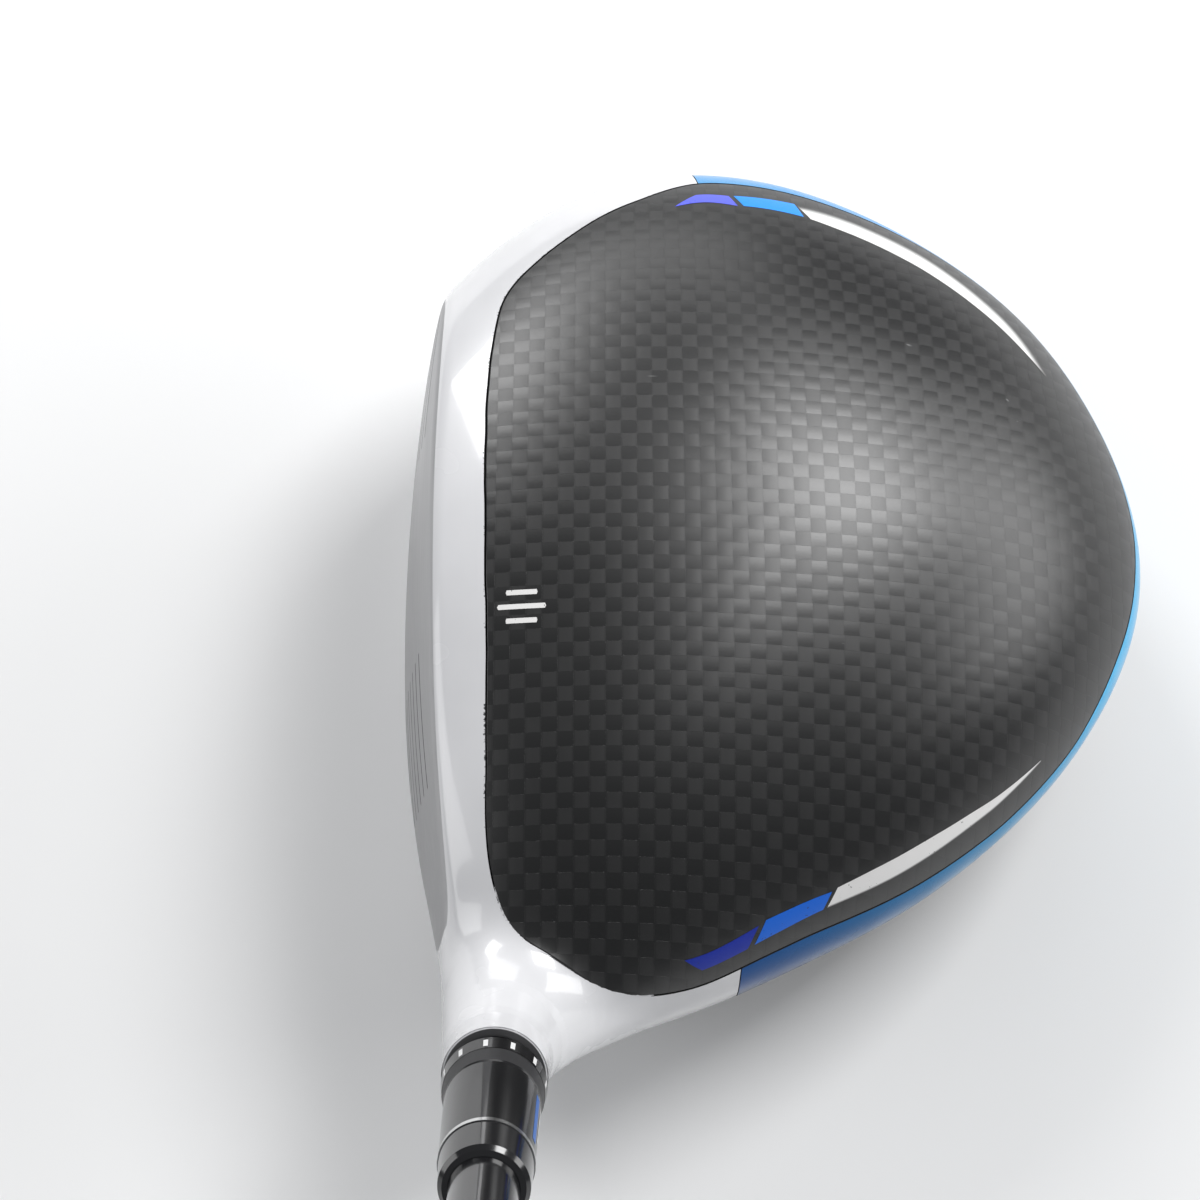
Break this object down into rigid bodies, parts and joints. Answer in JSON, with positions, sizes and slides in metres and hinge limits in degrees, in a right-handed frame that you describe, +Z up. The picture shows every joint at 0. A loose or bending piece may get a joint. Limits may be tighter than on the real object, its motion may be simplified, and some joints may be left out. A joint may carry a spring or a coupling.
{
  "type": "golf driver club",
  "caption": "Right-handed golf driver with a hollow head, woven carbon crown, metal rear ring, adjustable shaft sleeve, tapered shaft and rubber grip.",
  "frame": {"origin": "centre of the flat on the keel under the head, on the ground at address", "axes": "-X to the target, +X to the rear of the head, +Y to the toe, -Y to the player and grip, +Z up"},
  "size_m": [0.1144, 0.7658, 0.9703],
  "materials": {
    "white_paint": "gloss",
    "face_titanium": "brushed",
    "blue_ring": "anodised satin",
    "crown_carbon": "satin woven carbon",
    "sole_carbon": "satin woven carbon",
    "keel_metal": "dark satin",
    "slot_filler": "matt",
    "weight_steel": "brushed",
    "washer_steel": "plain",
    "screw_steel": "dark",
    "retainer_steel": "plain",
    "port_screw_metal": "anodised",
    "resin": "matt",
    "sleeve_aluminium": "black anodised gloss",
    "trim_silver": "bright",
    "ferrule_plastic": "gloss",
    "shaft_graphite": "gloss",
    "plug_cork": "plain",
    "tape": "matt",
    "grip_rubber": "matt",
    "cap_rubber": "matt"
  },
  "bodies": {
    "head": {"front_body": "white_paint", "face_plate": "face_titanium", "rear_ring": "blue_ring", "crown_panel": "crown_carbon", "sole_panel": "sole_carbon", "sole_keel": "keel_metal", "slot_insert": "slot_filler", "toe_port_screw": "port_screw_metal", "tuning_resin": "resin"},
    "hosel_screw": {"hosel_screw": "screw_steel"},
    "screw_retainer": {"screw_retainer": "retainer_steel"},
    "shaft_assembly": {"loft_sleeve": "sleeve_aluminium", "sleeve_trim_ring": "trim_silver", "ferrule": "ferrule_plastic", "shaft": "shaft_graphite", "tip_plug": "plug_cork", "grip_tape": "tape", "grip": "grip_rubber", "grip_cap": "cap_rubber"},
    "weight_washer": {"rear_weight_washer": "washer_steel"},
    "rear_weight": {"rear_weight": "weight_steel"}
  },
  "joints": [
    {"name": "hosel_screw_turn", "type": "hinge", "parent": "head", "child": "hosel_screw", "pos_m": [-0.032, -0.079, 0.059], "axis": [0, -0.5299, 0.848], "continuous": true},
    {"name": "sleeve_turn", "type": "hinge", "parent": "head", "child": "screw_retainer", "pos_m": [-0.032, -0.079, 0.059], "axis": [0, -0.5299, 0.848], "continuous": true},
    {"name": "sleeve_lift", "type": "slide", "parent": "screw_retainer", "child": "shaft_assembly", "axis": [0, -0.5299, 0.848], "range_m": [0, 0.045]},
    {"name": "weight_travel", "type": "slide", "parent": "head", "child": "weight_washer", "axis": [0.1736, 0, -0.9848], "range_m": [0, 0.007]},
    {"name": "weight_turn", "type": "hinge", "parent": "weight_washer", "child": "rear_weight", "pos_m": [0.051, 0, 0.00293], "axis": [0.1736, 0, -0.9848], "range_deg": [0, 2521]}
  ],
  "couplings": [
    {"joint": "weight_turn", "follows": "weight_travel", "rad_per_m": 6283.2}
  ]
}
